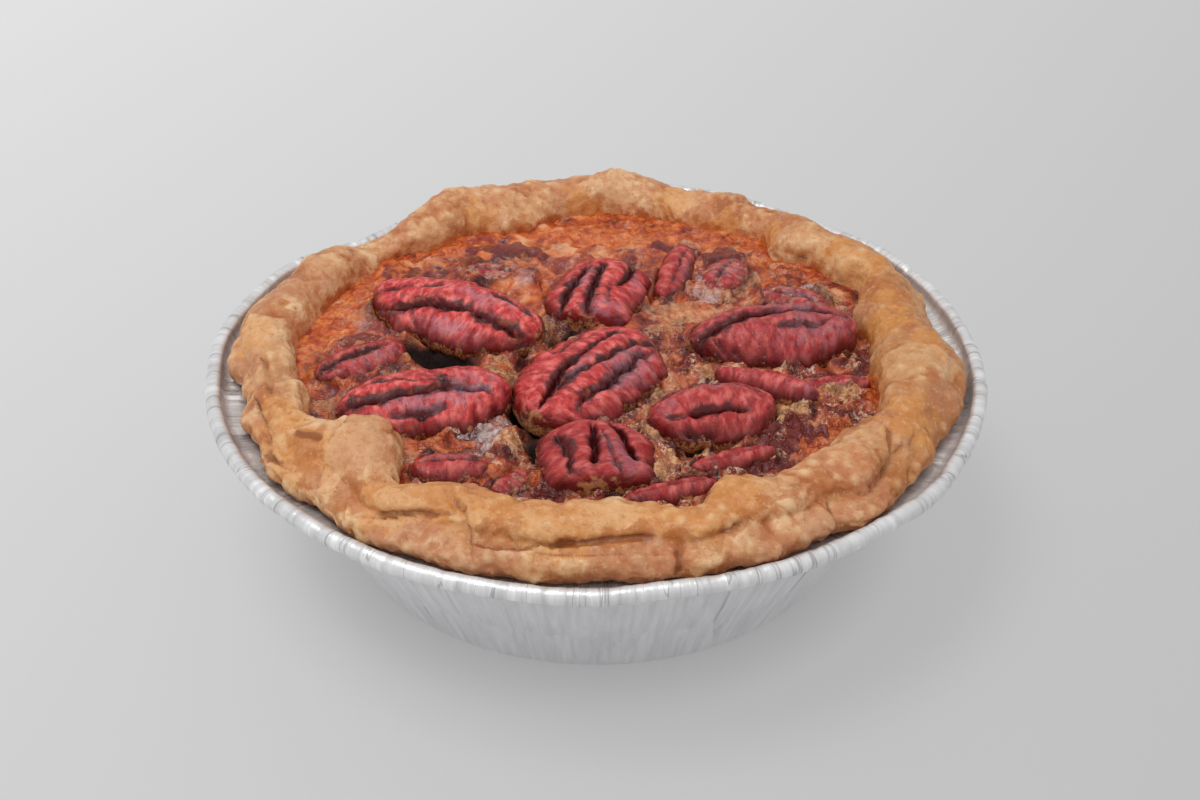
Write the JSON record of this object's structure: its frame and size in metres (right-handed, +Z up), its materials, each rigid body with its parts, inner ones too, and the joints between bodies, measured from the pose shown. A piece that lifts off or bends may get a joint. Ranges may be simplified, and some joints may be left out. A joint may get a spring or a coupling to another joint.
{
  "type": "pecan pie",
  "caption": "Small individual pecan pie in its own crimped foil pan, with a folded rolled pastry edge and halved pecans sunk in a baked syrup filling.",
  "frame": {"origin": "centre of the pan's flat base, on the surface it stands on", "axes": "+Z up out of the filling; -Y towards the front, +X to the right; the pan's rim is dented inwards at the back left"},
  "size_m": [0.127, 0.1269, 0.0384],
  "materials": {
    "foil": "thin pressed foil, satin, pleated and creased",
    "crust": "baked pastry, satin to matt, mottled pale gold with browned folds",
    "filling": "baked syrup custard, glossy, frothy and uneven",
    "pecan": "roasted nut skin with a thin syrup glaze, satin sheen on the ridges"
  },
  "bodies": {
    "root": {"foil_pan": "foil", "crust": "crust", "filling": "filling", "pecan_back_left_large": "pecan", "pecan_left_large": "pecan", "pecan_middle": "pecan", "pecan_front_broken": "pecan", "pecan_back_broken": "pecan", "pecan_back_sliver": "pecan", "pecan_back_filmed": "pecan", "pecan_right_large": "pecan", "pecan_front_right_large": "pecan", "pecan_front_right_ridge": "pecan", "pecan_left_small": "pecan", "pecan_front_left_small": "pecan", "pecan_front_left_crumb": "pecan", "pecan_front_right_inner": "pecan", "pecan_front_right_outer": "pecan", "pecan_right_filmed": "pecan", "pecan_back_left_filmed": "pecan", "pecan_back_right_filmed": "pecan"}
  },
  "joints": []
}
